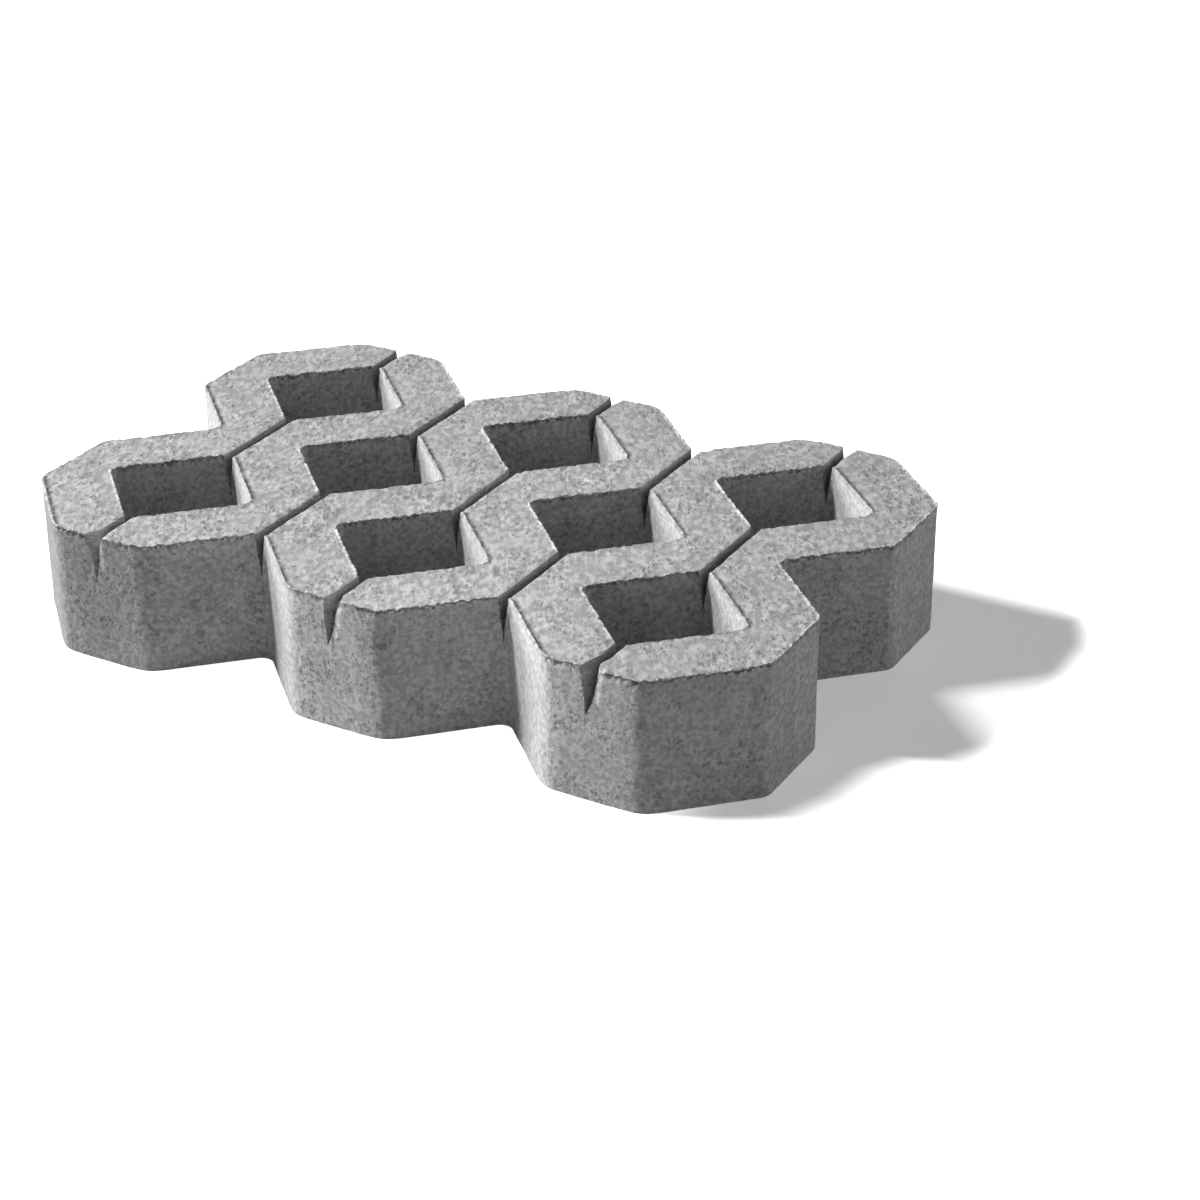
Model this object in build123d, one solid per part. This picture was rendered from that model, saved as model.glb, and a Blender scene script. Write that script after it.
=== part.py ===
from build123d import *
import os

# Grass paver: one dry-cast concrete slab, a lattice of ribs round square soil openings.
# Frame: millimetres, +Z up, X along the length, Y across the width.
# Origin: middle of the flat underside.

# Laying module and thickness
module_length = 600.0         # room that one paver takes along X, joint included
module_width = 400.0          # room that one paver takes along Y, joint included
joint_allowance = 2.0         # gap left for the neighbouring paver
thickness = 100.0             # from the underside to the wearing face

# Soil openings, square in plan and standing on a corner
lattice_columns = 6           # lattice steps along the length
lattice_rows = 4              # lattice steps across the width
opening_width = 90.0          # clear side of one square
opening_turn = 45.0           # degrees between a square's sides and the outline
opening_radius = 8.0          # corners of the whole squares
notch_radius = 9.0            # corners of the part squares left in the outline

# Outer corners
tip_radius = 20.0             # of the lobes along the two long sides
end_radius = 14.0             # of the two end faces

# False joints: tapered grooves that part the wearing face into zigzag ribs
groove_top_width = 8.0        # at the wearing face
groove_floor_width = 2.0      # at the floor
groove_depth = 30.0

# Rounded rim of the wearing face
arris_radius = 1.0

# Working values of the build
cutter_overshoot = 10.0       # how far a groove's cutter stands above the wearing face
same_place = 0.01             # distance under which two places count as one

# Sizes that follow from the ones above
body_length = module_length - joint_allowance
body_width = module_width - joint_allowance
step_x = module_length / lattice_columns
step_y = module_width / lattice_rows


def lattice_points():
    """Centres of the squares: every other point of the lattice, its rim included."""
    points = []
    for column in range(lattice_columns + 1):
        for row in range(lattice_rows + 1):
            if (column + row) % 2 == 0:
                x = column * step_x - module_length / 2
                y = row * step_y - module_width / 2
                points.append((x, y))
    return points


def is_whole(x, y):
    """True where the square lies inside the outline, False where the outline cuts it."""
    return abs(x) < module_length / 2 - same_place and abs(y) < module_width / 2 - same_place


def square_on_corner(radius=0.0):
    """A square turned onto its corner, its own corners rounded where a radius is given."""
    if radius:
        return Rot(0, 0, opening_turn) * RectangleRounded(opening_width, opening_width, radius)
    return Rot(0, 0, opening_turn) * Rectangle(opening_width, opening_width)


def on_side(corner):
    """True for a corner on one of the two long sides."""
    return abs(abs(corner.Y) - body_width / 2) < same_place


def on_end(corner):
    """True for a corner on one of the two end faces."""
    return abs(abs(corner.X) - body_length / 2) < same_place


def paver_plan():
    """The ribs in plan: the body less all squares, its corners rounded."""
    plan = Rectangle(body_length, body_width)
    for x, y in lattice_points():
        if not is_whole(x, y):
            plan -= Pos(x, y) * square_on_corner()
    inner = [corner for corner in plan.vertices() if not on_side(corner) and not on_end(corner)]
    plan = fillet(inner, notch_radius)
    plan = fillet([corner for corner in plan.vertices() if on_side(corner)], tip_radius)
    plan = fillet([corner for corner in plan.vertices() if on_end(corner)], end_radius)
    for x, y in lattice_points():
        if is_whole(x, y):
            plan -= Pos(x, y) * square_on_corner(opening_radius)
    return plan


def groove_cutter():
    """One groove's tapered section, drawn out across the whole width at x = 0."""
    spread = (groove_top_width - groove_floor_width) / groove_depth
    mouth_width = groove_top_width + spread * cutter_overshoot
    section = Polygon(
        (-groove_floor_width / 2, thickness - groove_depth),
        (groove_floor_width / 2, thickness - groove_depth),
        (mouth_width / 2, thickness + cutter_overshoot),
        (-mouth_width / 2, thickness + cutter_overshoot),
        align=None,
    )
    return extrude(Plane.XZ * section, module_width / 2, both=True)


def groove_places():
    """Where the grooves cross the length: every inner step of the lattice."""
    return [column * step_x - module_length / 2 for column in range(1, lattice_columns)]


def paver_block():
    """The whole paver: ribs, grooves and the rounded rim of the wearing face."""
    block = extrude(paver_plan(), thickness)
    groove = groove_cutter()
    for x in groove_places():
        block -= Pos(x, 0, 0) * groove
    rim = [
        edge
        for face in block.faces().filter_by(Axis.Z)
        if abs(face.center().Z - thickness) < same_place
        for edge in face.edges()
    ]
    return fillet(rim, arris_radius)


os.makedirs("parts", exist_ok=True)
export_step(paver_block(), "parts/paver_block.step")
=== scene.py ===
import logging
import math
from dataclasses import dataclass, field
from enum import Enum

import bmesh
import bpy
import numpy as np
from mathutils import Matrix, Vector, noise
from mathutils.bvhtree import BVHTree


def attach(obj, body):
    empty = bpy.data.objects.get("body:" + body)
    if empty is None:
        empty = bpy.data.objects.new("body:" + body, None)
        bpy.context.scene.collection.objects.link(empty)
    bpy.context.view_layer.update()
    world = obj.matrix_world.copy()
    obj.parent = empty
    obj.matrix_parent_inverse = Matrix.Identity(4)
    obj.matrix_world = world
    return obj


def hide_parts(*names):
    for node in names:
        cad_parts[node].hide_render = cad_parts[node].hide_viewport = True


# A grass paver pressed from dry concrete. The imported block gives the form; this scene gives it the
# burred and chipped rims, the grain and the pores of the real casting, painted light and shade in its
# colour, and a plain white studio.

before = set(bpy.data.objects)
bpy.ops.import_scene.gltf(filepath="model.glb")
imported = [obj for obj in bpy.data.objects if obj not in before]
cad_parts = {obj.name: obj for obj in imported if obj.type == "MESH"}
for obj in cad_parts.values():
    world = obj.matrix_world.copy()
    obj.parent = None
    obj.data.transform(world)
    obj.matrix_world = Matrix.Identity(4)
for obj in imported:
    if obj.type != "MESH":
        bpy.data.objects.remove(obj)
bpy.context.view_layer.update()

MM = 0.001
SMOOTH = {"interpolation_type": "SMOOTHSTEP"}
log = logging.getLogger("grass_paver")


def linear(sheet_colour: str) -> tuple[float, float, float, float]:
    """Turns an sRGB hex colour into the linear colour that shaders take.

    Args:
        sheet_colour: Six hex digits after a hash sign, as "#B4B4B2".

    Returns:
        Linear red, green, blue and an alpha of 1.
    """
    parts = [int(sheet_colour[i:i + 2], 16) / 255 for i in (1, 3, 5)]
    toned = [c / 12.92 if c <= 0.04045 else ((c + 0.055) / 1.055) ** 2.4 for c in parts]
    return (*toned, 1.0)


def add_node(tree: bpy.types.NodeTree, kind: str, settings: dict | None = None, **links) -> bpy.types.Node:
    """Adds one shader node with its settings and what feeds it.

    Args:
        tree: The material's or world's node tree.
        kind: The node's type, such as "ShaderNodeTexNoise".
        settings: Properties of the node, and values of its inputs under the inputs' own names.
            A whole number as the key sets the input at that place.
        links: An input's name, with spaces written as underscores, or in_ and its place, and the
            output socket that feeds it.

    Returns:
        The new node.
    """
    node = tree.nodes.new(kind)
    for key, value in (settings or {}).items():
        if isinstance(key, str) and hasattr(node, key):
            setattr(node, key, value)
        else:
            node.inputs[key].default_value = value
    for name, socket in links.items():
        place = int(name[3:]) if name.startswith("in_") else name.replace("_", " ")
        tree.links.new(socket, node.inputs[place])
    return node


def rough_field(points: np.ndarray, wave: float, seed: int, octaves: int = 2) -> np.ndarray:
    """Smooth, repeatable noise at many points.

    Args:
        points: Rows of x, y, z in millimetres.
        wave: The size of its largest humps in millimetres.
        seed: A whole number that moves the pattern elsewhere.
        octaves: How many finer layers are added, each half the size of the one before.

    Returns:
        One number for each point, about -1 to 1.
    """
    away = Vector((seed * 17.3, seed * -9.1, seed * 5.7))
    return np.array([noise.fractal(Vector(p) / wave + away, 1.0, 2.0, octaves) for p in points.tolist()])


def fade(distance: np.ndarray, near: float, far: float) -> np.ndarray:
    """A smooth 1 within near, falling to 0 at far."""
    t = np.clip((far - distance) / (far - near), 0, 1)
    return t * t * (3 - 2 * t)


class View(Enum):
    """Where the photograph was taken from, in degrees."""

    AZIMUTH = 29.142
    ELEVATION = 27.075
    ROLL = -0.036


class WallSide(Enum):
    """Which way a slanting wall of the block faces, as x and y."""

    FRONT_LEFT = (-1, -1)
    FRONT_RIGHT = (1, -1)


class Mark(Enum):
    """What the block's attributes tell its concrete about a place."""

    OPEN_FACE = "wearing_face"
    BROKEN_RIM_AND_CHIP_SHADE = "broken_rim_and_chip_shade"
    TORN_SKIN = "torn_skin"
    SMOOTH_SKIN = "smooth_skin"
    TONE_WITH_PAINTED_LIGHT = "tone_with_painted_light"


def turned_to(facing: np.ndarray, side: WallSide) -> np.ndarray:
    """How squarely each wall faces a slanting side: 1 straight at it, 0 or less away from it."""
    return facing @ np.array(side.value) / math.sqrt(2)


@dataclass(frozen=True)
class ProductCamera:
    """The camera that took the photograph, worked out from the block's lattice.

    Lengths are in metres. The target is a point on the line of sight near the block.
    """

    lens_mm: float = 82.02
    sensor_mm: float = 36.0
    distance: float = 2.0105
    middle_height: float = 0.050
    shift_right: float = 0.08365
    shift_up: float = -0.03567
    farthest_seen: float = 100.0

    def place(self) -> bpy.types.Object:
        """Builds the camera and makes it the scene's own.

        Returns:
            The camera object.
        """
        azimuth, elevation, roll = (math.radians(v.value) for v in (View.AZIMUTH, View.ELEVATION, View.ROLL))
        back = Vector((math.sin(azimuth) * math.cos(elevation), -math.cos(azimuth) * math.cos(elevation),
                       math.sin(elevation)))
        level = Vector((math.cos(azimuth), math.sin(azimuth), 0))
        upright = back.cross(level)
        right = math.cos(roll) * level + math.sin(roll) * upright
        up = -math.sin(roll) * level + math.cos(roll) * upright
        target = Vector((0, 0, self.middle_height)) + self.shift_right * right + self.shift_up * up
        data = bpy.data.cameras.new("product_camera")
        data.lens, data.sensor_width, data.clip_end = self.lens_mm, self.sensor_mm, self.farthest_seen
        camera = bpy.data.objects.new("product_camera", data)
        bpy.context.scene.collection.objects.link(camera)
        turn = Matrix((right, up, back)).transposed().to_4x4()
        camera.matrix_world = Matrix.Translation(target + self.distance * back) @ turn
        bpy.context.scene.camera = camera
        return camera


@dataclass(frozen=True)
class SoftLamp:
    """One round softbox: its bearing, height angle, distance and breadth, and the light it gives.

    Angles are in degrees and the distance in metres. The light is what falls on a face that is
    turned to the lamp at the block, where 1 shows a white face as white.
    """

    name: str
    bearing: tuple[float, float]
    elevation: float
    distance: float
    breadth: float
    light: float

    def hang(self) -> bpy.types.Object:
        """Builds the lamp.

        Returns:
            The lamp object.
        """
        data = bpy.data.lights.new(self.name, "AREA")
        data.shape = "DISK"
        data.size = 2 * self.distance * math.tan(math.radians(self.breadth / 2))
        # A white face shows as white at pi watts a square metre. A flat lamp gives that from
        # (pi x distance) squared watts.
        data.energy = self.light * (math.pi * self.distance) ** 2
        lamp = bpy.data.objects.new(self.name, data)
        bpy.context.scene.collection.objects.link(lamp)
        height = math.radians(self.elevation)
        towards = Vector((*self.bearing, 0)).normalized() * math.cos(height) + Vector((0, 0, math.sin(height)))
        lamp.location = towards * self.distance
        lamp.rotation_euler = towards.to_track_quat("Z", "Y").to_euler()
        return lamp


@dataclass(frozen=True)
class WhiteStudio:
    """A white floor and surround, a key softbox and a broad low one on the left, and two fills.

    The paper shows the block's shadow only to the right of it and as far as a soft edge, given as
    pairs of y and x. The rest of the paper is blown out to plain white, as in the photograph.
    Lengths are in metres.
    """

    floor_side: float = 30.0
    paper_white: float = 1.3
    floor_bounce: str = "#A8A8A8"
    floor_lift: float = 0.185
    blown_out: float = 1.0
    shadow_starts: tuple[float, float] = (0.19, 0.225)
    front_starts: tuple[float, float] = (0.215, 0.285)
    front_reach: tuple[float, float] = (-0.14, -0.18)
    shadow_back: tuple[float, float] = (0.190, 0.222)
    shadow_ends: tuple[tuple[float, float], ...] = (
        (-0.20, 0.27), (-0.174, 0.300), (-0.151, 0.324), (-0.118, 0.338), (-0.072, 0.346), (-0.048, 0.360),
        (-0.034, 0.388), (-0.002, 0.406), (0.09, 0.412), (0.16, 0.412), (0.215, 0.385))
    shadow_edge: float = 0.016
    surround_strength: float = 0.09
    lamps: tuple[SoftLamp, ...] = (
        SoftLamp("key_softbox", (-0.905, -0.425), 40.5, 7.0, 9.0, 0.82),
        SoftLamp("low_softbox", (-0.99, -0.14), 16.0, 7.0, 26.0, 0.95),
        SoftLamp("right_softbox", (0.95, 0.31), 20.0, 7.0, 36.0, 0.21),
        SoftLamp("front_fill", (0.20, -0.98), 12.0, 7.0, 40.0, 0.06),
    )

    def past_shadow_end(self, tree: bpy.types.NodeTree,
                        places: bpy.types.bpy_prop_collection) -> bpy.types.NodeSocket:
        """Tells where the paper lies past the far edge of the shadow.

        Args:
            tree: The paper's tree.
            places: The outputs X, Y and Z of a place on the floor.

        Returns:
            0 before the edge, rising smoothly to 1 behind it.
        """
        nearest, farthest = self.shadow_ends[0][0], self.shadow_ends[-1][0]
        row = add_node(tree, "ShaderNodeMapRange", {"From Min": nearest, "From Max": farthest}, Value=places["Y"])
        limit = add_node(tree, "ShaderNodeValToRGB", Fac=row.outputs["Result"])
        stops = limit.color_ramp.elements
        for y, _ in self.shadow_ends[1:-1]:
            stops.new((y - nearest) / (farthest - nearest))
        for stop, (_, x) in zip(stops, self.shadow_ends):
            stop.color = (x, x, x, 1.0)
        past = add_node(tree, "ShaderNodeMath", {"operation": "SUBTRACT"}, in_0=places["X"],
                        in_1=limit.outputs["Color"])
        ends = {"From Min": -self.shadow_edge, "From Max": self.shadow_edge}
        return add_node(tree, "ShaderNodeMapRange", {**SMOOTH, **ends}, Value=past.outputs[0]).outputs["Result"]

    def outside_shadow(self, tree: bpy.types.NodeTree) -> bpy.types.NodeSocket:
        """Tells where the paper is blown out and where it shows the block's shadow.

        Args:
            tree: The paper's tree.

        Returns:
            1 on the blown-out paper, 0 where the shadow shows.
        """
        place = add_node(tree, "ShaderNodeTexCoord").outputs["Object"]
        places = add_node(tree, "ShaderNodeSeparateXYZ", Vector=place).outputs
        left, front, near, back = (
            add_node(tree, "ShaderNodeMapRange", {**SMOOTH, "From Min": off, "From Max": on},
                     Value=places[axis]).outputs["Result"]
            for axis, off, on in (("X", *reversed(self.shadow_starts)), ("X", *reversed(self.front_starts)),
                                  ("Y", *self.front_reach), ("Y", *self.shadow_back)))
        lobe = add_node(tree, "ShaderNodeMath", {"operation": "MULTIPLY"}, in_0=front, in_1=near).outputs[0]
        most = self.past_shadow_end(tree, places)
        for zone in (left, lobe, back):
            most = add_node(tree, "ShaderNodeMath", {"operation": "MAXIMUM"}, in_0=most, in_1=zone).outputs[0]
        return most

    def paper(self) -> bpy.types.Material:
        """Makes the paper: white to the camera, darker to the light that bounces off it.

        Returns:
            The material.
        """
        paper = bpy.data.materials.new("white_paper")
        paper.use_nodes = True
        tree = paper.node_tree
        shader = tree.nodes["Principled BSDF"]
        shader.inputs["Roughness"].default_value = 1.0
        shader.inputs["Specular IOR Level"].default_value = 0.0
        shader.inputs["Emission Color"].default_value = (1, 1, 1, 1)
        seen = add_node(tree, "ShaderNodeLightPath").outputs["Is Camera Ray"]
        tone = add_node(tree, "ShaderNodeMix", {"data_type": "RGBA", 6: linear(self.floor_bounce),
                                                7: (self.paper_white,) * 3 + (1.0,)}, in_0=seen)
        tree.links.new(tone.outputs[2], shader.inputs["Base Color"])
        glow = add_node(tree, "ShaderNodeMapRange", {"To Min": self.floor_lift, "To Max": self.blown_out},
                        Value=self.outside_shadow(tree))
        lift = add_node(tree, "ShaderNodeMath", {"operation": "MULTIPLY"}, in_0=glow.outputs["Result"], in_1=seen)
        tree.links.new(lift.outputs[0], shader.inputs["Emission Strength"])
        return paper

    def floor(self) -> bpy.types.Object:
        """Lays the floor.

        Returns:
            The floor object.
        """
        bm = bmesh.new()
        bmesh.ops.create_grid(bm, x_segments=1, y_segments=1, size=self.floor_side / 2)
        mesh = bpy.data.meshes.new("studio_floor")
        bm.to_mesh(mesh)
        bm.free()
        mesh.materials.append(self.paper())
        floor = bpy.data.objects.new("studio_floor", mesh)
        bpy.context.scene.collection.objects.link(floor)
        return floor

    def light(self) -> None:
        """Sets the surround and hangs the lamps."""
        world = bpy.data.worlds.new("white_surround")
        world.use_nodes = True
        bpy.context.scene.world = world
        tree = world.node_tree
        tree.nodes.clear()
        path = add_node(tree, "ShaderNodeLightPath")
        seen = add_node(tree, "ShaderNodeMath", {"operation": "MAXIMUM"},
                        in_0=path.outputs["Is Camera Ray"], in_1=path.outputs["Is Glossy Ray"])
        power = add_node(tree, "ShaderNodeMapRange", {"To Min": self.surround_strength, "To Max": 1.0},
                         Value=seen.outputs[0])
        sky = add_node(tree, "ShaderNodeBackground", {"Color": (1, 1, 1, 1)}, Strength=power.outputs[0])
        add_node(tree, "ShaderNodeOutputWorld", Surface=sky.outputs[0])
        for lamp in self.lamps:
            lamp.hang()


@dataclass(frozen=True)
class Grain:
    """The concrete's patterns at a place, each a socket from 0 to 1.

    Grit is sand with its fines, coarse tells the dry patches from those closed by paste, and voids
    are the small holes between the grains.
    """

    grit: bpy.types.NodeSocket
    crumbs: bpy.types.NodeSocket
    blotch: bpy.types.NodeSocket
    coarse: bpy.types.NodeSocket
    voids: bpy.types.NodeSocket


@dataclass(frozen=True)
class DryCastConcrete:
    """Earth-moist concrete, pressed and vibrated in a steel mould and stripped at once.

    The tamped wearing face stays open: sand grains stand up between small voids, so it looks gritty
    and specked. The moulded walls carry a closed skin of cement paste with few pores, so they look
    smoother and duller. Sizes are in millimetres. The real sand is 1 to 2 mm, too fine to show from
    here, and is drawn as coarse as the photograph shows it. A pair of numbers is where a pattern
    starts to tell and where it tells fully.
    """

    name: str = "dry_cast_concrete"
    roughness: float = 0.93
    specular: float = 0.25
    skin_dark: str = "#A8A8A8"
    skin_light: str = "#CACACA"
    sand_dark: str = "#A2A2A2"
    sand_light: str = "#DADADA"
    # Painted shade of the voids and chips.
    void_shade: str = "#545454"
    fresh_break: str = "#E4E4E4"
    sand_size: float = 3.6
    fines_size: float = 2.0
    sand_share: float = 0.8
    crumb_size: float = 2.6
    blotch_size: float = 15.0
    dry_size: float = 26.0
    drawn_out: float = 0.45
    drawn_aslant: float = 29.0
    speck_size: float = 3.3
    speck_bend_size: float = 3.4
    speck_bend: float = 6.0
    speck_edge: tuple[float, float] = (-0.12, 0.16)
    speck_reach: tuple[float, float] = (0.2, 0.65)
    specks_closed: float = 0.3
    specks_torn: float = 0.7
    dry_patches: tuple[float, float] = (0.38, 0.6)
    sand_contrast: tuple[float, float] = (0.34, 0.7)
    skin_contrast: tuple[float, float] = (0.36, 0.64)
    sand_in_paste: float = 0.4
    calmed: float = 0.7
    blotches: tuple[float, float] = (0.6, 0.3)
    blotch_share: float = 0.32
    void_shade_share: float = 0.4
    rim_patches: tuple[float, float] = (0.38, 0.6)
    rim_least: float = 0.3
    crumbs_bright: tuple[float, float] = (0.46, 0.56)
    # Painted shade in the chips under the rims.
    chip_shade_crumbs: tuple[float, float] = (0.53, 0.43)
    bright_share: float = 0.8
    chip_shade_share: float = 0.85
    chip_shade_less_on_top: float = 0.6
    relief: float = 0.76
    skin_relief: float = 0.6
    blotch_relief: float = 0.5
    crumb_relief: float = 1.2
    void_relief: float = 0.3

    def drawn_place(self, tree: bpy.types.NodeTree, opened: bpy.types.NodeSocket) -> bpy.types.NodeSocket:
        """Gives the places that the patterns are read at.

        The feed box drew the sand of the wearing face out a little, aslant across the width.

        Args:
            tree: The material's tree.
            opened: 1 on the wearing face, 0 on the walls.

        Returns:
            Object coordinates, turned, and squeezed on the wearing face.
        """
        place = add_node(tree, "ShaderNodeTexCoord").outputs["Object"]
        turned = add_node(tree, "ShaderNodeVectorRotate", {"rotation_type": "Z_AXIS",
                                                           "Angle": -math.radians(self.drawn_aslant)}, Vector=place)
        squeeze = add_node(tree, "ShaderNodeMath", {"operation": "MULTIPLY_ADD", 1: -self.drawn_out, 2: 1.0},
                           in_0=opened)
        across = add_node(tree, "ShaderNodeCombineXYZ", {"X": 1.0, "Z": 1.0}, Y=squeeze.outputs[0])
        drawn = add_node(tree, "ShaderNodeVectorMath", {"operation": "MULTIPLY"}, in_0=turned.outputs[0],
                         in_1=across.outputs[0])
        return drawn.outputs[0]

    def specks(self, tree: bpy.types.NodeTree, place: bpy.types.NodeSocket, coarse: bpy.types.NodeSocket,
               marks: dict[Mark, bpy.types.NodeSocket]) -> bpy.types.NodeSocket:
        """Small round voids, each of its own size.

        Voids gather where the mix was driest and where the skin tore. Smooth paste has closed them.

        Args:
            tree: The material's tree.
            place: The places that patterns are read at.
            coarse: 1 in the dry patches, 0 where paste closed the face.
            marks: The block's attributes.

        Returns:
            1 in the voids, 0 outside.
        """
        wavy = add_node(tree, "ShaderNodeTexNoise", {"Scale": 1 / (self.speck_bend_size * MM), "Detail": 2.0},
                        Vector=place)
        bent = add_node(tree, "ShaderNodeVectorMath", {"operation": "SCALE", "Scale": self.speck_bend * MM},
                        in_0=wavy.outputs["Color"])
        moved = add_node(tree, "ShaderNodeVectorMath", {"operation": "ADD"}, in_0=place, in_1=bent.outputs[0])
        cells = add_node(tree, "ShaderNodeTexVoronoi", {"Scale": 1 / (self.speck_size * MM)}, Vector=moved.outputs[0])
        share = add_node(tree, "ShaderNodeSeparateColor", Color=cells.outputs["Color"]).outputs[0]
        least, most = self.speck_reach
        reach = add_node(tree, "ShaderNodeMath", {"operation": "MULTIPLY_ADD", 1: most - least, 2: least},
                         in_0=coarse)
        for mark, gain in ((Mark.SMOOTH_SKIN, -self.specks_closed), (Mark.TORN_SKIN, self.specks_torn)):
            reach = add_node(tree, "ShaderNodeMath", {"operation": "MULTIPLY_ADD", 1: gain}, in_0=marks[mark],
                             in_2=reach.outputs[0])
        radius = add_node(tree, "ShaderNodeMath", {"operation": "MULTIPLY"}, in_0=reach.outputs[0], in_1=share)
        inside = add_node(tree, "ShaderNodeMath", {"operation": "SUBTRACT"}, in_0=radius.outputs[0],
                          in_1=cells.outputs["Distance"])
        ends = {"From Min": self.speck_edge[0], "From Max": self.speck_edge[1]}
        return add_node(tree, "ShaderNodeMapRange", {**SMOOTH, **ends}, Value=inside.outputs[0]).outputs["Result"]

    def grain(self, tree: bpy.types.NodeTree, marks: dict[Mark, bpy.types.NodeSocket]) -> Grain:
        """Lays out all patterns of the concrete.

        Args:
            tree: The material's tree.
            marks: The block's attributes.

        Returns:
            The patterns.
        """
        place = self.drawn_place(tree, marks[Mark.OPEN_FACE])
        sand, fines, crumbs, blotch, dry = (
            add_node(tree, "ShaderNodeTexNoise", {"Scale": 1 / (size * MM), "Detail": detail, "Roughness": roughness},
                     Vector=place).outputs["Fac"]
            for size, detail, roughness in ((self.sand_size, 1.5, 0.5), (self.fines_size, 1.0, 0.5),
                                            (self.crumb_size, 0.5, 0.5), (self.blotch_size, 1.5, 0.5),
                                            (self.dry_size, 2.0, 0.6)))
        fine_part = add_node(tree, "ShaderNodeMath", {"operation": "MULTIPLY", 1: 1 - self.sand_share}, in_0=fines)
        grit = add_node(tree, "ShaderNodeMath", {"operation": "MULTIPLY_ADD", 1: self.sand_share}, in_0=sand,
                        in_2=fine_part.outputs[0])
        ends = {"From Min": self.dry_patches[0], "From Max": self.dry_patches[1]}
        coarse = add_node(tree, "ShaderNodeMapRange", {**SMOOTH, **ends}, Value=dry).outputs["Result"]
        return Grain(grit.outputs[0], crumbs, blotch, coarse, self.specks(tree, place, coarse, marks))

    def plain_tone(self, tree: bpy.types.NodeTree, grain: Grain, sandy: bpy.types.NodeSocket) -> bpy.types.NodeSocket:
        """Colours the open sand, the paste skin and the dull blotches, and paints shade into the voids.

        Args:
            tree: The material's tree.
            grain: The concrete's patterns.
            sandy: 1 where sand shows, 0 where paste covers it.

        Returns:
            The colour.
        """
        shades = []
        for ends, dark, light in ((self.skin_contrast, self.skin_dark, self.skin_light),
                                  (self.sand_contrast, self.sand_dark, self.sand_light)):
            share = add_node(tree, "ShaderNodeMapRange", {**SMOOTH, "From Min": ends[0], "From Max": ends[1]},
                             Value=grain.grit)
            shades.append(add_node(tree, "ShaderNodeMix", {"data_type": "RGBA", 6: linear(dark), 7: linear(light)},
                                   in_0=share.outputs["Result"]).outputs[2])
        tone = add_node(tree, "ShaderNodeMix", {"data_type": "RGBA"}, in_0=sandy, in_6=shades[0], in_7=shades[1])
        dull = add_node(tree, "ShaderNodeMapRange", {**SMOOTH, "From Min": self.blotches[0],
                                                     "From Max": self.blotches[1], "To Max": self.blotch_share},
                        Value=grain.blotch)
        # Painted shade in the voids.
        dark = add_node(tree, "ShaderNodeMath", {"operation": "MULTIPLY", 1: self.void_shade_share}, in_0=grain.voids)
        for share, colour in ((dull.outputs["Result"], self.sand_dark), (dark.outputs[0], self.void_shade)):
            tone = add_node(tree, "ShaderNodeMix", {"data_type": "RGBA", 7: linear(colour)}, in_0=share,
                            in_6=tone.outputs[2])
        return tone.outputs[2]

    def crumbled_tone(self, tree: bpy.types.NodeTree, grain: Grain, broken: bpy.types.NodeSocket,
                      opened: bpy.types.NodeSocket, tone: bpy.types.NodeSocket) -> bpy.types.NodeSocket:
        """Adds the crumbled rims: bright broken grains above, painted shade in the chips below.

        Args:
            tree: The material's tree.
            grain: The concrete's patterns.
            broken: 1 where the rim crumbled.
            opened: 1 on the wearing face, 0 on the walls.
            tone: The colour without the rims.

        Returns:
            The colour with them.
        """
        less = add_node(tree, "ShaderNodeMath", {"operation": "MULTIPLY_ADD", 1: -self.chip_shade_less_on_top, 2: 1.0},
                        in_0=opened)
        chip_shade_place = add_node(tree, "ShaderNodeMath", {"operation": "MULTIPLY"}, in_0=broken, in_1=less.outputs[0])
        for where, ends, most, colour in (
                (broken, self.crumbs_bright, self.bright_share, self.fresh_break),
                (chip_shade_place.outputs[0], self.chip_shade_crumbs, self.chip_shade_share, self.void_shade)):
            share = add_node(tree, "ShaderNodeMapRange", {**SMOOTH, "From Min": ends[0], "From Max": ends[1],
                                                          "To Max": most}, Value=grain.crumbs)
            shown = add_node(tree, "ShaderNodeMath", {"operation": "MULTIPLY"}, in_0=where,
                             in_1=share.outputs["Result"])
            tone = add_node(tree, "ShaderNodeMix", {"data_type": "RGBA", 7: linear(colour)}, in_0=shown.outputs[0],
                            in_6=tone).outputs[2]
        return tone

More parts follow.
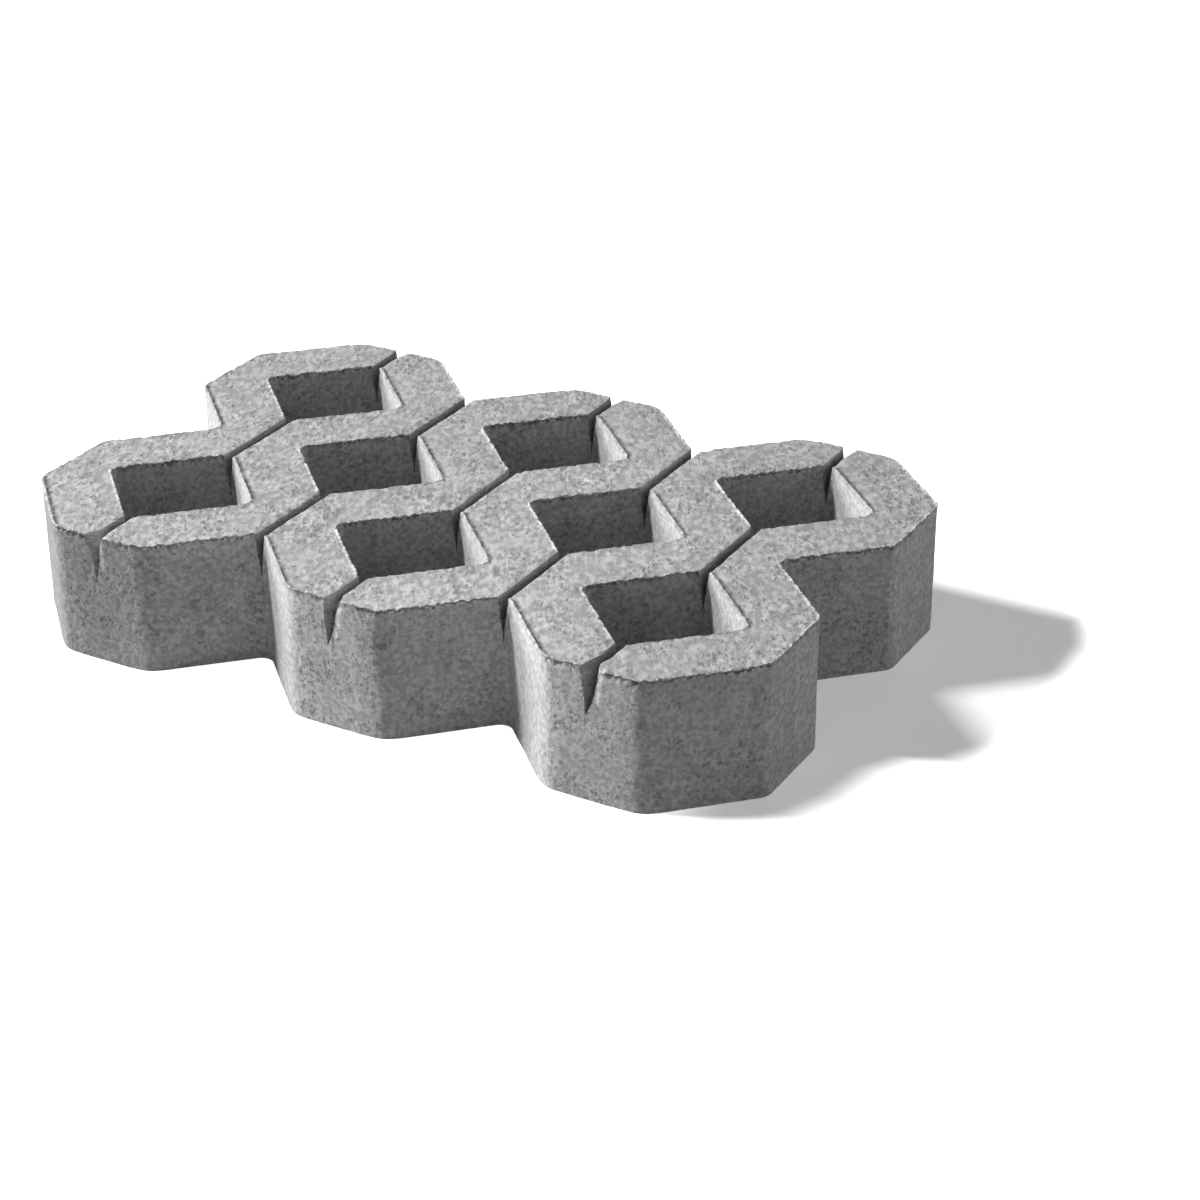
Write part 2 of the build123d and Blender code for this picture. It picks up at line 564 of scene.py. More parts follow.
    def fine_relief(self, tree: bpy.types.NodeTree, grain: Grain, broken: bpy.types.NodeSocket,
                    sandy: bpy.types.NodeSocket, lively: bpy.types.NodeSocket) -> bpy.types.NodeSocket:
        """Raises the grains and sinks the voids that are too fine for the mesh.

        Args:
            tree: The material's tree.
            grain: The concrete's patterns.
            broken: 1 where the rim crumbled.
            sandy: 1 where sand shows, 0 where paste covers it.
            lively: 1 on rough skin, less on smooth skin.

        Returns:
            The bumped normal.
        """
        skin = add_node(tree, "ShaderNodeMath", {"operation": "MULTIPLY", 1: self.skin_relief}, in_0=lively)
        grip = add_node(tree, "ShaderNodeMath", {"operation": "MULTIPLY_ADD", 1: 1 - self.skin_relief}, in_0=sandy,
                        in_2=skin.outputs[0])
        crumbled = add_node(tree, "ShaderNodeMath", {"operation": "MULTIPLY"}, in_0=broken, in_1=grain.crumbs)
        height = add_node(tree, "ShaderNodeMath", {"operation": "MULTIPLY_ADD", 1: self.blotch_relief},
                          in_0=grain.blotch, in_2=grain.grit)
        height = add_node(tree, "ShaderNodeMath", {"operation": "MULTIPLY_ADD", 1: self.crumb_relief},
                          in_0=crumbled.outputs[0], in_2=height.outputs[0])
        height = add_node(tree, "ShaderNodeMath", {"operation": "MULTIPLY"}, in_0=height.outputs[0],
                          in_1=grip.outputs[0])
        height = add_node(tree, "ShaderNodeMath", {"operation": "MULTIPLY_ADD", 1: -self.void_relief},
                          in_0=grain.voids, in_2=height.outputs[0])
        bump = add_node(tree, "ShaderNodeBump", {"Distance": self.relief * MM, "Strength": 1.0},
                        Height=height.outputs[0])
        return bump.outputs["Normal"]

    def make(self) -> bpy.types.Material:
        """Builds the material.

        Returns:
            The material.
        """
        concrete = bpy.data.materials.new(self.name)
        concrete.use_nodes = True
        tree = concrete.node_tree
        shader = tree.nodes["Principled BSDF"]
        shader.inputs["Roughness"].default_value = self.roughness
        shader.inputs["Specular IOR Level"].default_value = self.specular
        marks = {mark: add_node(tree, "ShaderNodeAttribute", {"attribute_name": mark.value}).outputs["Fac"]
                 for mark in Mark}
        grain = self.grain(tree, marks)
        opened = marks[Mark.OPEN_FACE]
        lively = add_node(tree, "ShaderNodeMath", {"operation": "MULTIPLY_ADD", 1: -self.calmed, 2: 1.0},
                          in_0=marks[Mark.SMOOTH_SKIN]).outputs[0]
        sandy = add_node(tree, "ShaderNodeMath", {"operation": "MULTIPLY_ADD", 1: 1 - self.sand_in_paste,
                                                  2: self.sand_in_paste}, in_0=grain.coarse).outputs[0]
        for share in (opened, lively):
            sandy = add_node(tree, "ShaderNodeMath", {"operation": "MULTIPLY"}, in_0=sandy, in_1=share).outputs[0]
        patchy = add_node(tree, "ShaderNodeMapRange", {**SMOOTH, "From Min": self.rim_patches[0],
                                                       "From Max": self.rim_patches[1], "To Min": self.rim_least},
                          Value=grain.blotch)
        broken = add_node(tree, "ShaderNodeMath", {"operation": "MULTIPLY"}, in_0=marks[Mark.BROKEN_RIM_AND_CHIP_SHADE],
                          in_1=patchy.outputs["Result"]).outputs[0]
        tone = self.plain_tone(tree, grain, sandy)
        tone = self.crumbled_tone(tree, grain, broken, opened, tone)
        shade = add_node(tree, "ShaderNodeVectorMath", {"operation": "SCALE"}, in_0=tone,
                         Scale=marks[Mark.TONE_WITH_PAINTED_LIGHT])
        tree.links.new(shade.outputs[0], shader.inputs["Base Color"])
        tree.links.new(self.fine_relief(tree, grain, broken, sandy, lively), shader.inputs["Normal"])
        return concrete


@dataclass(frozen=True)
class TornMouth:
    """How a groove's mouth in a front lobe's tip departs from its section, in millimetres.

    The blade dragged the mouth sideways by shift at the top and by slant more farther down. Its
    edges broke away sideways by left and right, each a list that goes with the mouths' levels.
    """

    shift: float = 0.0
    slant: float = 0.0
    left: tuple[float, ...] = (0.0, 0.0, 0.0, 0.0, 0.0)
    right: tuple[float, ...] = (0.0, 0.0, 0.0, 0.0, 0.0)


@dataclass(frozen=True)
class GrooveSection:
    """The section of a false joint: how deep it is at places across it, in millimetres.

    The mix tore open a little below the blade's edge. Where a groove comes out in a lobe's tip, its
    mouth gapes.
    """

    stations: tuple[float, ...] = (-5.2, -4.0, -3.5, -3.0, -1.4, -0.8, -0.2, 1.0, 2.4, 3.2, 4.0, 5.4)
    depths: tuple[float, ...] = (0.0, 0.25, 6.0, 17.0, 26.0, 36.0, 26.0, 17.0, 8.0, 3.0, 0.25, 0.0)
    reach: float = 9.0
    gape: float = 0.42
    gape_depth: float = 17.0
    mouth_levels: tuple[float, ...] = (0.0, 8.0, 18.0, 27.0, 38.0)
    mouths: tuple[TornMouth, ...] = (
        TornMouth(0.5, -1.5, (-5.0, -3.5, 0.0, 0.0, 0.0), (0.0, 1.0, 2.6, 1.5, 0.0)), TornMouth(),
        TornMouth(-0.2, -3.3, (0.0, 0.0, 0.0, 0.0, 0.0), (0.8, 3.6, 4.8, 3.8, 0.5)), TornMouth(),
        TornMouth(-3.6, -0.6, (0.5, 0.5, 1.0, 0.5, 0.0), (5.6, 6.0, 5.8, 4.2, 0.8)))

    def depth(self, across: np.ndarray) -> np.ndarray:
        """Depth of the groove at places across it."""
        return np.interp(across, self.stations, self.depths)


@dataclass(frozen=True)
class RimBurr:
    """The rim of the wearing face, where paste was squeezed up between the tamper and the mould.

    Each list goes with the rings, the wall first, and is a height over the wearing face. Stripping
    the mould dragged the burr over the walls that face left and front, and left it in crumbs over
    those that face right and front. Lengths are in millimetres.
    """

    rings: tuple[float, ...] = (0.8, 1.8, 2.9)
    dragged: tuple[float, ...] = (-0.1, 0.45, 0.65, -0.5)
    crumbled: tuple[float, ...] = (0.6, 1.1, 0.1, 0.0)
    broken: tuple[float, ...] = (-1.1, -0.5, -0.1, 0.0)
    reach: float = 6.0
    face_drop: float = 1.1
    lip: float = 0.5

    def height(self, inward: np.ndarray, left: np.ndarray, drag: np.ndarray) -> np.ndarray:
        """Height over the wearing face.

        Args:
            inward: Distance in from the wall.
            left: The share of the burr that is left.
            drag: How far the burr was dragged over rather than crumbled, 0 to 1.

        Returns:
            The height at each place.
        """
        dragged, crumbled, broken = (np.interp(inward, (0.0, *self.rings), made)
                                     for made in (self.dragged, self.crumbled, self.broken))
        made = left * (drag * dragged + (1 - drag) * crumbled) + (1 - left) * broken
        return made * fade(inward, self.rings[-1], self.reach)


@dataclass(frozen=True)
class ToneAndPaintedLight:
    """The concrete's tone with painted light and shade in it, where 1 is the plain colour and a gain is a
    share of it.

    The light falls are a painted fall of the light over the wearing face, for each millimetre along x
    and y. The scuff is one pale scratch near the middle, given by its start and its run, and how wide
    it is full and fades out, in millimetres.
    """

    face: float = 0.945
    # Painted light: the wearing face is painted paler at the middle and front left, darker towards the far right.
    light_fall_x: float = -0.00008
    light_fall_y: float = -0.0003
    painted_light_middle: float = 0.06
    painted_light_front: float = 0.04
    scuff: float = 0.4
    scuff_start: tuple[float, float] = (33.0, 58.0)
    scuff_run: tuple[float, float] = (31.5, -7.0)
    scuff_breadth: tuple[float, float] = (0.5, 3.2)
    # Painted shade on the left lobe's outer faces.
    wall: float = 1.03
    painted_shade_facing: tuple[float, float] = (-0.5, -0.85)
    painted_shade_loss: float = 0.4
    # Painted shade on the openings' walls that face front right.
    opening_painted_shade: float = 0.26
    # Painted shade on the right lobe's front right wall, painted light low on the other lobes' front right walls.
    painted_shade_right_lobe: float = 0.12
    painted_light_left_lobes: float = 0.14
    # Painted light on front left walls in the openings and on the notch wall beside the right tip.
    painted_light_opening: float = 0.08
    painted_light_wall: float = 0.13
    # Painted shade in the grooves.
    groove: float = 0.6
    # Painted light inside the grooves' mouths in the front tips.
    mouth_painted_light: float = 0.6
    line_shadow: float = 0.7
    # Painted shade where the burr broke away from the rim.
    rim_gap_shade: float = 0.25


@dataclass
class PaverBlock:
    """The casting: one block of zigzag ribs round square openings, parted by grooves.

    Lengths are in millimetres. Vertices closer than weld are merged, and those closer to a clean
    wall than off_wall go back onto it.
    """

    node_name: str = "paver_block"
    thickness: float = 100.0
    lattice_step: float = 100.0
    opening_width: float = 90.0
    half_length: float = 299.0
    half_width: float = 199.0
    groove_lines: tuple[float, ...] = (-200.0, -100.0, 0.0, 100.0, 200.0)
    cell: float = 3.0
    quick_cell: float = 7.0
    levels: tuple[float, ...] = (99.0, 98.0, 96.6, 94.6, 92, 89.5, 87, 84.5, 82, 79, 76, 72.5, 69, 65, 60.5, 55.5,
                                 50, 43, 35, 26, 16, 6)
    rim_zone: float = 96.0
    long_edge: float = 1.7
    weld: float = 0.06
    off_wall: float = 0.065
    tip_wear_depth: float = 0.7
    tip_wear_reach: tuple[float, float] = (2.0, 19.0)
    sharp_edge: float = 50.0
    groove: GrooveSection = field(default_factory=GrooveSection)
    rim: RimBurr = field(default_factory=RimBurr)
    tone_and_light: ToneAndPaintedLight = field(default_factory=ToneAndPaintedLight)
    finish: DryCastConcrete = field(default_factory=DryCastConcrete)

    def plan_walls(self) -> bmesh.types.BMesh:
        """Draws up the block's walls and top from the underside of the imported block.

        Returns:
            A shell without an underside, its walls upright and its top flat.
        """
        bm = bmesh.new()
        bm.from_mesh(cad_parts[self.node_name].data)
        bmesh.ops.remove_doubles(bm, verts=bm.verts, dist=0.01 * MM)
        bm.normal_update()
        upper = [f for f in bm.faces if f.normal.z > -0.99 or f.calc_center_median().z > 0.1 * MM]
        bmesh.ops.delete(bm, geom=upper, context="FACES")
        bmesh.ops.dissolve_limit(bm, angle_limit=math.radians(1), verts=bm.verts, edges=bm.edges)
        drawn = bmesh.ops.extrude_face_region(bm, geom=bm.faces[:])
        lifted = [g for g in drawn["geom"] if isinstance(g, bmesh.types.BMVert)]
        bmesh.ops.translate(bm, verts=lifted, vec=(0, 0, self.thickness * MM))
        bmesh.ops.recalc_face_normals(bm, faces=bm.faces)
        under = [f for f in bm.faces if f.normal.z < -0.9]
        bmesh.ops.delete(bm, geom=under, context="FACES")
        return bm

    def ring_rims(self, bm: bmesh.types.BMesh) -> None:
        """Runs the burr's rings round every rim of the top.

        Args:
            bm: The shell, which is changed.
        """
        top = [f for f in bm.faces if f.normal.z > 0.9]
        before = 0.0
        for ring in self.rim.rings:
            bmesh.ops.inset_region(bm, faces=top, thickness=(ring - before) * MM, use_even_offset=True,
                                   use_boundary=True)
            before = ring

    def cut(self, bm: bmesh.types.BMesh, place: Vector, direction: Vector) -> None:
        """Cuts every face along one plane, given in millimetres."""
        bmesh.ops.bisect_plane(bm, geom=bm.verts[:] + bm.edges[:] + bm.faces[:], dist=0.02 * MM,
                               plane_co=place * MM, plane_no=direction)

    def diagonal_cuts(self) -> list[float]:
        """Tells where the diagonal planes stand: in even steps over the ribs and over the openings.

        Returns:
            Their distances from the block's middle, in millimetres.
        """
        cell = self.cell
        period = self.lattice_step * math.sqrt(2)
        edge = self.opening_width / 2 + self.rim.rings[-1]
        rib = np.linspace(edge, period - edge, round((period - 2 * edge) / cell) + 1)
        hole = np.linspace(-self.opening_width / 2, self.opening_width / 2, round(self.opening_width / cell) + 1)
        one_period = [*rib, *hole[1:-1]]
        reach = (self.half_length + self.half_width) / math.sqrt(2)
        starts = [period * (count + 0.5) for count in range(-4, 4)]
        return [start + place for start in starts for place in one_period if abs(start + place) < reach]

    def wall_tree(self, bm: bmesh.types.BMesh) -> BVHTree:
        """Makes a search tree of the upright faces alone.

        Args:
            bm: The shell or the refined block.

        Returns:
            The tree.
        """
        walls = bm.copy()
        bmesh.ops.delete(walls, geom=[f for f in walls.faces if abs(f.normal.z) > 0.5], context="FACES")
        tree = BVHTree.FromBMesh(walls)
        walls.free()
        return tree

    def refine(self, bm: bmesh.types.BMesh) -> None:
        """Cuts the shell into small cells along the ribs, across the grooves and by height.

        Merging vertices that nearly coincide pulls some off their wall, so those go back onto it.

        Args:
            bm: The shell, which is changed.
        """
        clean_walls = self.wall_tree(bm)
        for side in (1, -1):
            across = Vector((1, side, 0)).normalized()
            for place in self.diagonal_cuts():
                self.cut(bm, across * place, across)
        for line in self.groove_lines:
            for station in self.groove.stations:
                self.cut(bm, Vector((line + station, 0, 0)), Vector((1, 0, 0)))
        bmesh.ops.remove_doubles(bm, verts=bm.verts, dist=self.weld * MM)
        for vert in bm.verts:
            place, _, _, gap = clean_walls.find_nearest(vert.co)
            if gap < self.off_wall * MM:
                vert.co.xy = place.xy
        for level in self.levels:
            self.cut(bm, Vector((0, 0, level)), Vector((0, 0, 1)))
        self.split_rims(bm)

    def split_rims(self, bm: bmesh.types.BMesh) -> None:
        """Halves the cells along the rims, where the small breaks are.

        Args:
            bm: The shell, which is changed.
        """
        tree = self.wall_tree(bm)
        along = []
        for edge in bm.edges:
            first, last = edge.verts[0].co, edge.verts[1].co
            aslant = abs(first.z - last.z) > 0.1 * MM
            if first.z < self.rim_zone * MM or aslant or edge.calc_length() < self.long_edge * MM:
                continue
            if first.z < (self.thickness - 0.1) * MM:
                along.append(edge)
                continue
            near, far = (tree.find_nearest(v)[3] / MM for v in (first, last))
            if max(near, far) < self.rim.rings[-1] + 0.1 and abs(near - far) < 0.15:
                along.append(edge)
        bmesh.ops.subdivide_edges(bm, edges=along, cuts=1)

    def close_underside(self, bm: bmesh.types.BMesh) -> None:
        """Fills the flat underside and turns all faces to triangles.

        Args:
            bm: The shell, which is changed.
        """
        foot = [e for e in bm.edges if e.is_boundary]
        bmesh.ops.triangle_fill(bm, use_beauty=True, use_dissolve=False, edges=foot, normal=Vector((0, 0, -1)))
        bmesh.ops.triangulate(bm, faces=bm.faces, quad_method="BEAUTY", ngon_method="BEAUTY")

    def wall_directions(self, mesh: bpy.types.Mesh, points: np.ndarray) -> np.ndarray:
        """Which way the walls face at each vertex.

        Args:
            mesh: The refined block.
            points: Its vertices in millimetres.

        Returns:
            For each vertex the x and y of its wall's direction, or zeros away from the walls.
        """
        facing = np.empty(len(mesh.polygons) * 3)
        mesh.polygons.foreach_get("normal", facing)
        facing = facing.reshape(-1, 3)
        corners = np.empty(len(mesh.loops), dtype=np.int32)
        mesh.loops.foreach_get("vertex_index", corners)
        corners = corners.reshape(-1, 3)
        area = np.empty(len(mesh.polygons))
        mesh.polygons.foreach_get("area", area)
        upright = (np.abs(facing[:, 2]) < 0.5) & (area > 0)
        towards = np.zeros((len(points), 2))
        for corner in range(3):
            np.add.at(towards, corners[upright, corner], facing[upright, :2] * area[upright, None])
        length = np.linalg.norm(towards, axis=1)
        return np.where(length[:, None] > 1e-12, towards / np.maximum(length, 1e-12)[:, None], 0)

    def nearest_wall(self, bm: bmesh.types.BMesh, points: np.ndarray,
                     inner: np.ndarray) -> tuple[np.ndarray, np.ndarray]:
        """How far in from the nearest wall the top's vertices stand, and which way that wall faces.

        Args:
            bm: The refined block.
            points: Its vertices in millimetres.
            inner: True for the vertices to look at.

        Returns:
            The distance in millimetres and the wall's x and y direction, zeros for other vertices.
        """
        tree = self.wall_tree(bm)
        gap = np.zeros(len(points))
        facing = np.zeros((len(points), 2))
        for index in np.nonzero(inner)[0]:
            _, normal, _, distance = tree.find_nearest(Vector(points[index]) * MM)
            gap[index] = distance / MM
            facing[index] = normal[:2]
        return gap, facing

    def tone_with_painted_light(self, clean: np.ndarray, on_top: np.ndarray, facing: np.ndarray) -> np.ndarray:
        """The colour factor at each vertex, with painted light and shade in it, where 1 is the plain colour.

        The wearing face is painted paler at its middle and along its front left and darker towards the far
        right, a painted fall of the light, and has one pale scuff near the middle. The left lobe's outer
        faces and the openings' walls that face front right carry painted shade. Some walls of the front
        lobes carry painted light and others painted shade.

        Args:
            clean: The vertices in millimetres.
            on_top: True for the vertices of the wearing face.
            facing: Which way each vertex's wall faces.

        Returns:
            A factor for the colour at each vertex.
        """
        tone_and_light, (x, y, z) = self.tone_and_light, clean.T
        # Painted fall of the light over the wearing face: paler at the middle and front left, darker towards the far
        # right.
        middle = fade(np.abs(x - 80), 50, 150) * fade(y, 60, 160)
        front = fade(np.abs(y + 200), 60, 180) * fade(np.abs(x - 50), 60, 200)
        face = tone_and_light.face + tone_and_light.painted_light_middle * middle + tone_and_light.light_fall_x * x + tone_and_light.light_fall_y * y
        face += tone_and_light.painted_light_front * front
        (from_x, from_y), (run_x, run_y) = tone_and_light.scuff_start, tone_and_light.scuff_run
        along = np.clip((run_x * (x - from_x) + run_y * (y - from_y)) / (run_x ** 2 + run_y ** 2), 0, 1)
        apart = np.hypot(x - from_x - run_x * along, y - from_y - run_y * along)
        face *= 1 + tone_and_light.scuff * fade(apart, *tone_and_light.scuff_breadth)

        in_opening = self.beside_opening(clean)
        front_right = np.clip(turned_to(facing, WallSide.FRONT_RIGHT), 0, 1)
        front_left = np.clip(turned_to(facing, WallSide.FRONT_LEFT), 0, 1)
        # Painted shade on the outer faces of the left lobe.
        outer = np.clip(facing @ np.array(tone_and_light.painted_shade_facing), 0, 1) * fade(x + 300, 88, 166) * fade(y + 200, 70, 120)
        wall = 1 - tone_and_light.painted_shade_loss * fade(1 - outer, 0.3, 0.9)
        # Painted shade inside the openings, on their walls that face front right.
        wall *= 1 - tone_and_light.opening_painted_shade * front_right * in_opening
        # Painted shade on the right lobe's front right wall and painted light low on the other lobes' front right
        # walls.
        lobes = tone_and_light.painted_light_left_lobes * (x < 110) * fade(z, 10, 75) - tone_and_light.painted_shade_right_lobe * (x > 230) * (y < -100)
        wall *= 1 + lobes * front_right * ~in_opening
        # Painted light on front left walls: in the openings and on the wall where the middle tip's shadow falls.
        painted_lift = tone_and_light.painted_light_opening * in_opening + tone_and_light.painted_light_wall * fade(np.abs(x - 138), 25, 50) * (y < -100)
        wall *= 1 + painted_lift * front_left
        return np.where(on_top, face, tone_and_light.wall * wall)

    def tip_wear(self, clean: np.ndarray) -> np.ndarray:
        """Finds the outer corners of the lobes' tips, which are rounder than the mould.

        Args:
            clean: The vertices in millimetres.

        Returns:
            1 at the corners, 0 away from them.
        """
        worn = np.zeros(len(clean))
        half_tip = self.lattice_step - (self.opening_width / math.sqrt(2) - 1)
        for line in (-2, 0, 2):
            for side in (-1, 1):
                apart = np.hypot(clean[:, 0] - line * self.lattice_step - side * half_tip,
                                 np.abs(clean[:, 1]) - self.half_width)
                worn = np.maximum(worn, fade(apart, *self.tip_wear_reach))
        return worn

    def beside_opening(self, clean: np.ndarray) -> np.ndarray:
        """Finds the walls of the whole openings.

        Args:
            clean: The vertices in millimetres.

        Returns:
            True for the vertices on those walls.
        """
        step, half = self.lattice_step, self.opening_width / math.sqrt(2)
        found = np.zeros(len(clean), dtype=bool)
        for column in range(-2, 3):
            for row in (-1, 0, 1):
                if (column + row) % 2:
                    reach = np.abs(clean[:, 0] - column * step) + np.abs(clean[:, 1] - row * step)
                    found |= reach < half + 0.5
        return found

    def drag_grooves(self, moved: np.ndarray, clean: np.ndarray, below: np.ndarray) -> np.ndarray:
        """Lets the grooves wander along their length, and gape and shift in the front lobes' tips.

        Args:
            moved: The vertices' places so far in millimetres, which are changed.
            clean: Their places on the clean mould.
            below: How deep they lie under the wearing face.

        Returns:
            1 on the broken edges of the mouths, which get a paler fresh break and a painted highlight, 0 elsewhere.
        """
        section, from_front = self.groove, self.half_width + clean[:, 1]
        front = fade(from_front, 2, 24) * fade(below, 45, 70)
        gaping = fade(self.half_width - np.abs(clean[:, 1]), 1, 11) * fade(below, 1, section.gape_depth)
        slanting = np.interp(below, (0, 14, 45), (0, 1, 1.15))
        broken_edge_highlight = np.zeros(len(clean))
        for line, mouth in zip(self.groove_lines, section.mouths):
            across = clean[:, 0] - line
            wander = 0.5 * rough_field(clean * (0, 1, 1) + (line, 0, 0), 12, 7, 3) * fade(below, 30, 60)
            wander += front * (mouth.shift + mouth.slant * slanting)
            torn_side = fade(from_front, 1, 9) * fade(np.abs(across - 3), 1.5, 3.5) * fade(below, 20, 32)
            wander += 1.3 * torn_side * rough_field(clean * (0, 1, 1) + (line, 5, 0), 4.5, 12, 2)
            broke = np.interp(below, section.mouth_levels, mouth.left) * fade(across, -1.4, -0.8)
            broke += np.interp(below, section.mouth_levels, mouth.right) * fade(-across, 0.2, 0.8)
            broke *= fade(from_front, 1, 11) * fade(np.abs(across), 5, 28)
            hold = fade(np.abs(across), 6.5, 16)
            moved[:, 0] += (across * section.gape * gaping + wander) * hold + broke
            edge = fade(np.abs(across - 3.6), 0.6, 2.4) * fade(from_front, 0.3, 5) * fade(below, 24, 32)
            broken_edge_highlight = np.maximum(broken_edge_highlight, edge * (max(mouth.right) > 0))
        return broken_edge_highlight

    def weather(self, mesh: bpy.types.Mesh, bm: bmesh.types.BMesh) -> None:
        """Moves the vertices from the clean mould to the real casting.

        Args:
            mesh: The refined block, which is changed.
            bm: The same block, for its walls.
        """
        clean = np.empty(len(mesh.vertices) * 3)
        mesh.vertices.foreach_get("co", clean)
        clean = clean.reshape(-1, 3) / MM
        on_top = clean[:, 2] > self.thickness - 0.01
        towards = self.wall_directions(mesh, clean)
        on_wall = np.linalg.norm(towards, axis=1) > 0.5
        inner_face = on_top & ~on_wall
        gap, facing = self.nearest_wall(bm, clean, inner_face)
        facing = np.where(on_wall[:, None], towards, facing)
        plan = clean * (1, 1, 0)

        # Grooves: the top and the walls sink together to the groove's section.
        sunk = np.zeros(len(clean))
        for line in self.groove_lines:
            sunk += self.groove.depth(clean[:, 0] - line) * (np.abs(clean[:, 0] - line) < self.groove.reach)
        settled = clean.copy()
        settled[:, 2] *= 1 - sunk / self.thickness
        moved = settled.copy()
        depth = self.thickness - clean[:, 2]
        flush = fade(sunk, 0.3, 3.0)

        # Rims: how the burr lies depends on the way its wall faces.
        drag = fade(1 - turned_to(facing, WallSide.FRONT_LEFT), 0.08, 0.27)
        lee = fade(1 - turned_to(facing, WallSide.FRONT_RIGHT), 0.2, 0.75)
        left = np.clip(0.85 - 0.25 * lee + (0.8 + 0.9 * lee) * rough_field(plan, 3.8, 1, 2), 0, 1)
        chip = np.clip(rough_field(plan, 5.0, 2, 2) * 3.0 - 0.75 + 0.35 * lee, 0, 1)
        knock = np.clip(rough_field(plan, 17, 8, 2) * 2.4 - 1.1, 0, 1)
        right = fade(1 - facing[:, 0], 0.25, 0.6)
        burr = np.maximum(drag, 0.35 + 0.65 * np.maximum(lee, right))
        face = self.rim.height(gap, left, drag) * burr - (chip * 0.7 + knock * 0.9) * fade(gap, 0.4, 3.4)
        drop = self.rim.face_drop - face * flush
        moved[:, 2] -= np.where(on_top, drop, np.where(on_wall, drop * fade(depth, 0, 7), 0))

        # Relief of the tamped face and of the walls.
        swell = rough_field(settled, 55, 3, 2)
        lumps = rough_field(settled, 11, 4, 3)
        grain = rough_field(settled, 4.6, 5, 2)
        pits = np.clip(rough_field(settled, 7.0, 6, 1) - 0.42, 0, 1) * 3.0
        dents = 0.15 * swell + 0.15 * lumps + 0.3 * grain - 0.45 * pits
        moved[:, 2] += np.where(inner_face, dents * fade(-gap, -3.0, 0) * 0.9 * flush, 0)
        nearest_line = np.min([np.abs(clean[:, 0] - line) for line in self.groove_lines], axis=0)
        clear = 1 - fade(nearest_line, 5.0, 9.5)
        skin = np.where(on_wall, -0.45 + 0.3 * swell + clear * (0.15 * lumps + 0.14 * grain - 0.3 * pits), 0)
        skin -= self.tip_wear_depth * self.tip_wear(clean)
        teeth = rough_field(plan, 3.2, 9, 1)
        lip = self.rim.lip * left + (0.9 - 0.5 * drag) * np.minimum(teeth, 0.3) - chip * 0.6 - knock * 0.8
        skin += np.where(on_wall, lip * fade(depth, 1.05, 2.6) * flush, 0)
        torn = np.clip(rough_field(plan, 6.0, 11, 1) * 3.4 - 0.2, 0, 1) * lee * fade(np.abs(depth - 2.9), 1.0, 3.2)
        torn *= flush
        skin -= np.where(on_wall, 1.4 * torn, 0)
        moved[:, :2] += towards * np.minimum(skin, 0.0)[:, None]

        broken_edge_highlight = self.drag_grooves(moved, clean, self.thickness - settled[:, 2])
        limit = np.array([self.half_length, self.half_width])
        moved[:, :2] = np.clip(moved[:, :2], -limit, limit)
        moved[:, 2] = np.clip(moved[:, 2], 0, self.thickness)
        moved[clean[:, 2] < 0.01, 2] = 0
        mesh.vertices.foreach_set("co", (moved * MM).ravel())

        # What the concrete has to know about each place.
        near_rim = fade(gap, 0.6, 3.2) * fade(depth, 1.2, 5.0)
        line_shadow = drag * left * fade(np.abs(gap - 2.7), 0.3, 1.0) * inner_face
        worn_end = 0.8 * fade(1 - facing[:, 0], 0.05, 0.3) * on_wall
        smooth = np.maximum(drag * np.where(on_top, 0.8 * fade(gap, 4, 16), 1), worn_end)
        ragged = fade(1 - turned_to(facing, WallSide.FRONT_RIGHT), 0.05, 0.4)
        crumbled = near_rim * flush * np.maximum(0.3 + 0.7 * ragged, right * on_top)
        # Painted shade in the rim's gaps, where the burr is gone.
        burr_gap_shade = (1 - left) * near_rim * lee * flush
        tone = self.tone_with_painted_light(clean, on_top, facing)
        tone *= (1 - self.tone_and_light.line_shadow * line_shadow * flush) * (1 - self.tone_and_light.rim_gap_shade * burr_gap_shade)
        # Painted light in the grooves' mouths at the front tips, lifting their painted shade.
        inside = inner_face * fade(self.half_width + clean[:, 1], 6, 24) * fade(-sunk, -3, 0)
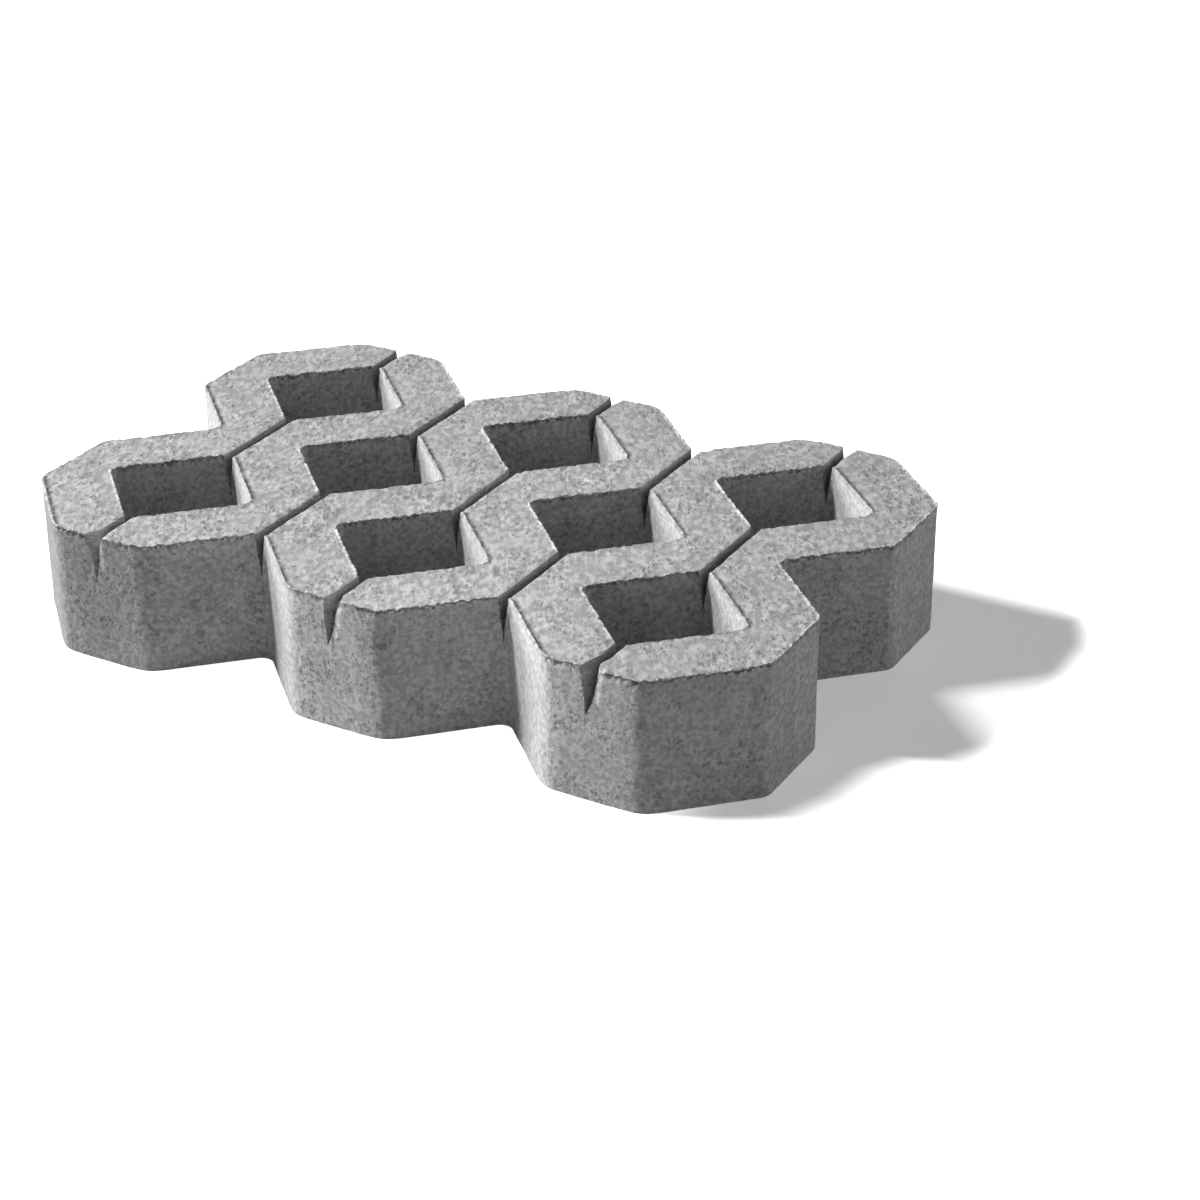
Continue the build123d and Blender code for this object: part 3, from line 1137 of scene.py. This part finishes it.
        # Painted shade on the sunk faces of the grooves.
        groove_shade = self.tone_and_light.groove + (1 - self.tone_and_light.groove) * fade(sunk, 0.5, 4)
        tone *= np.where(on_top, groove_shade, 1) * (1 + self.tone_and_light.mouth_painted_light * inside)
        # Paler fresh break and a painted highlight on the mouths' broken edges.
        tone *= 1 + broken_edge_highlight * np.clip(0.75 + rough_field(settled, 4.0, 13, 2), 0, 1.2)
        marks = {Mark.OPEN_FACE: on_top * flush, Mark.BROKEN_RIM_AND_CHIP_SHADE: crumbled, Mark.TORN_SKIN: torn * on_wall,
                 Mark.SMOOTH_SKIN: smooth, Mark.TONE_WITH_PAINTED_LIGHT: tone}
        for mark, values in marks.items():
            mesh.attributes.new(mark.value, "FLOAT", "POINT").data.foreach_set("value", values)

    def keep_arrises(self, mesh: bpy.types.Mesh) -> None:
        """Smooths the faces' shading and keeps the edges that turn by more than sharp_edge sharp.

        Args:
            mesh: The weathered block, which is changed.
        """
        bm = bmesh.new()
        bm.from_mesh(mesh)
        bm.normal_update()
        for face in bm.faces:
            face.smooth = True
        for edge in bm.edges:
            edge.smooth = edge.calc_face_angle(0.0) < math.radians(self.sharp_edge)
        bm.to_mesh(mesh)
        bm.free()

    def build(self) -> bpy.types.Object:
        """Models the block and dresses it.

        Returns:
            The block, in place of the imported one.
        """
        bm = self.plan_walls()
        self.ring_rims(bm)
        self.refine(bm)
        self.close_underside(bm)
        bm.normal_update()
        mesh = bpy.data.meshes.new("cast_paver_block")
        bm.to_mesh(mesh)
        self.weather(mesh, bm)
        bm.free()
        self.keep_arrises(mesh)
        mesh.materials.append(self.finish.make())
        block = bpy.data.objects.new("cast_paver_block", mesh)
        bpy.context.scene.collection.objects.link(block)
        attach(block, "root")
        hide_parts(self.node_name)
        log.info("cast_paver_block: %d triangles", len(mesh.polygons))
        return block


def main() -> None:
    """Builds the camera, the studio and the paver, and logs the block's triangle count."""
    logging.basicConfig(level=logging.INFO, format="%(message)s")
    bpy.context.scene.view_settings.view_transform = "Standard"
    ProductCamera().place()
    studio = WhiteStudio()
    studio.floor()
    studio.light()
    PaverBlock().build()


if __name__ == "__main__":
    main()
